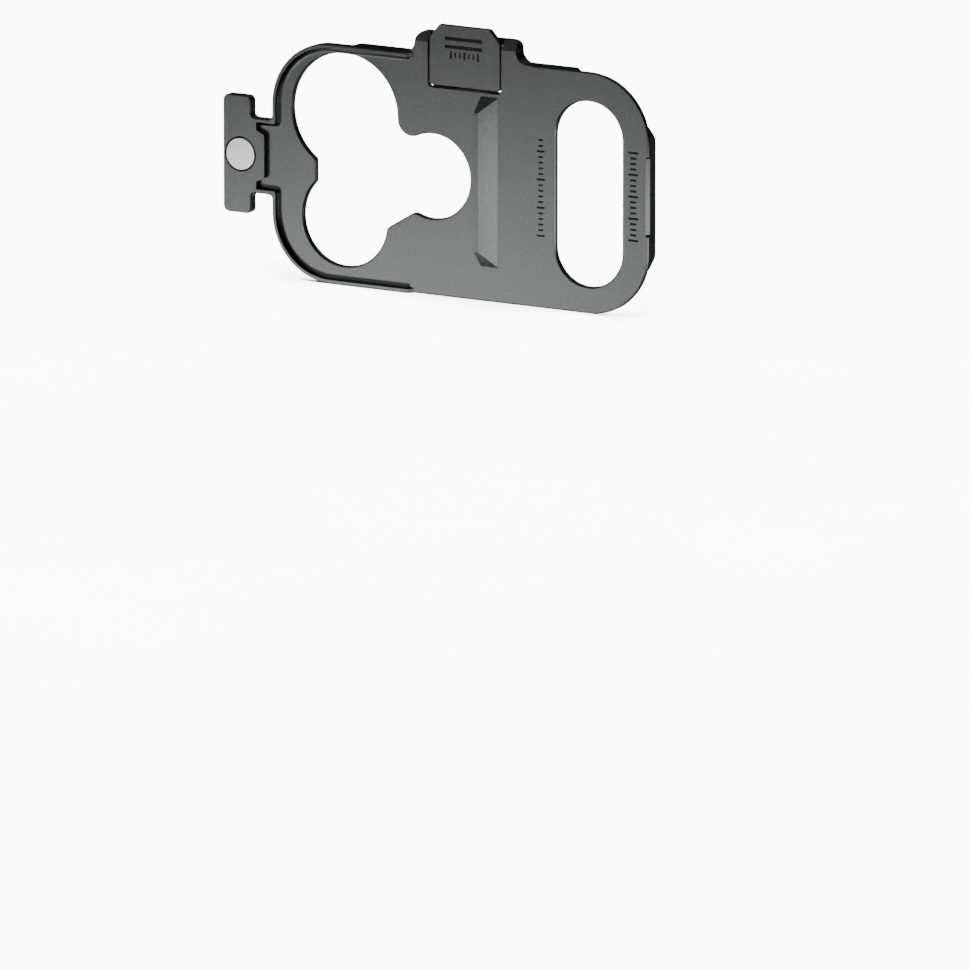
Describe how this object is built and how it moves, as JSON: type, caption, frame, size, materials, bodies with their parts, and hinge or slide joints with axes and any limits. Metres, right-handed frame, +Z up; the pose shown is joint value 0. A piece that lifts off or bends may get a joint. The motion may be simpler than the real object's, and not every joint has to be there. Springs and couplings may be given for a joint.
{
  "type": "phone filter adapter",
  "caption": "Flat metal tray that clips over a phone's cameras and holds a lens filter, with a magnet tab and a press latch.",
  "frame": {"origin": "on the plate's back face, on its horizontal mid line, midway between the wedge stop and the sensor window", "axes": "-Y out of the front face towards the viewer, +X from the magnet tab towards the sensor window, +Z up towards the latch"},
  "size_m": [0.0894, 0.0059, 0.0508],
  "materials": {
    "tray_anodised": "bead-blasted dark anodised",
    "magnet_plated": "satin nickel plate",
    "lever_anodised": "bead-blasted dark anodised",
    "pin_steel": "ground steel",
    "spring_steel": "spring wire"
  },
  "bodies": {
    "tray": {"tray_body": "tray_anodised", "tab_magnet": "magnet_plated", "latch_pin": "pin_steel"},
    "lever": {"latch_lever": "lever_anodised", "latch_spring": "spring_steel"}
  },
  "joints": [
    {"name": "latch_press", "type": "hinge", "parent": "tray", "child": "lever", "pos_m": [-0.0133, 0.001, 0.0239], "axis": [-1, 0, 0], "range_deg": [0, 12], "stiffness_Nm_per_rad": 0.012, "springref_deg": -9.74}
  ]
}
